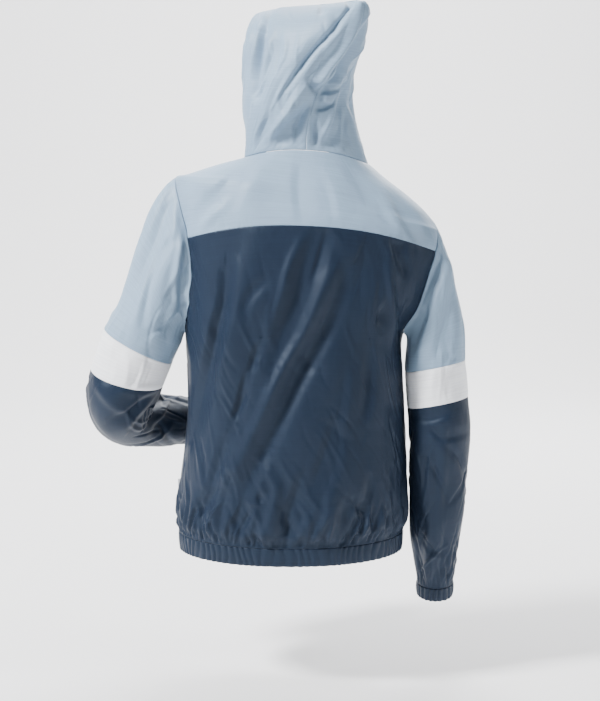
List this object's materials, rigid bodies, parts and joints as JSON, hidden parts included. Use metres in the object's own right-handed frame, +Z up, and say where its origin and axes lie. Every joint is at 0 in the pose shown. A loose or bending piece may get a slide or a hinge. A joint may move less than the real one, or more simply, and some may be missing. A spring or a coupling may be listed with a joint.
{
  "type": "hooded windbreaker jacket",
  "caption": "Light hooded jacket in its worn shape, hollow, with a front zip, colour-blocked sleeves and gathered cuffs and hem.",
  "frame": {"origin": "centre of the neckline, at the level of the neck seam, where the jacket hangs on its wearer", "axes": "+Z up, -Y out of the front with the zip, +X towards the wearer's left"},
  "size_m": [0.6258, 0.3487, 0.9718],
  "materials": {
    "grey_cloth": "smooth nylon with a soft sheen",
    "navy_cloth": "smooth nylon with a soft sheen",
    "white_cloth": "smooth nylon with a soft sheen",
    "zip_tape": "matt woven tape with moulded teeth",
    "zip_metal": "satin",
    "label_cloth": "matt woven, blank"
  },
  "bodies": {
    "jacket": {"back_yoke": "grey_cloth", "front_yoke_left": "grey_cloth", "front_yoke_right": "grey_cloth", "sleeve_upper_left": "grey_cloth", "sleeve_upper_right": "grey_cloth", "hood_left": "grey_cloth", "hood_right": "grey_cloth", "back_body": "navy_cloth", "front_body_left": "navy_cloth", "front_body_right": "navy_cloth", "sleeve_lower_left": "navy_cloth", "sleeve_lower_right": "navy_cloth", "cuff_left": "navy_cloth", "cuff_right": "navy_cloth", "hem_band": "navy_cloth", "sleeve_band_left": "white_cloth", "sleeve_band_right": "white_cloth", "zip_tape_left": "zip_tape", "zip_tape_right": "zip_tape", "zip_slider": "zip_metal", "side_label": "label_cloth"},
    "zip_pull": {"zip_pull": "zip_metal"}
  },
  "joints": [
    {"name": "zip_pull_hinge", "type": "hinge", "parent": "jacket", "child": "zip_pull", "pos_m": [-0.00204, -0.08714, -0.09192], "axis": [-1, 0, 0], "range_deg": [0, 160]}
  ]
}
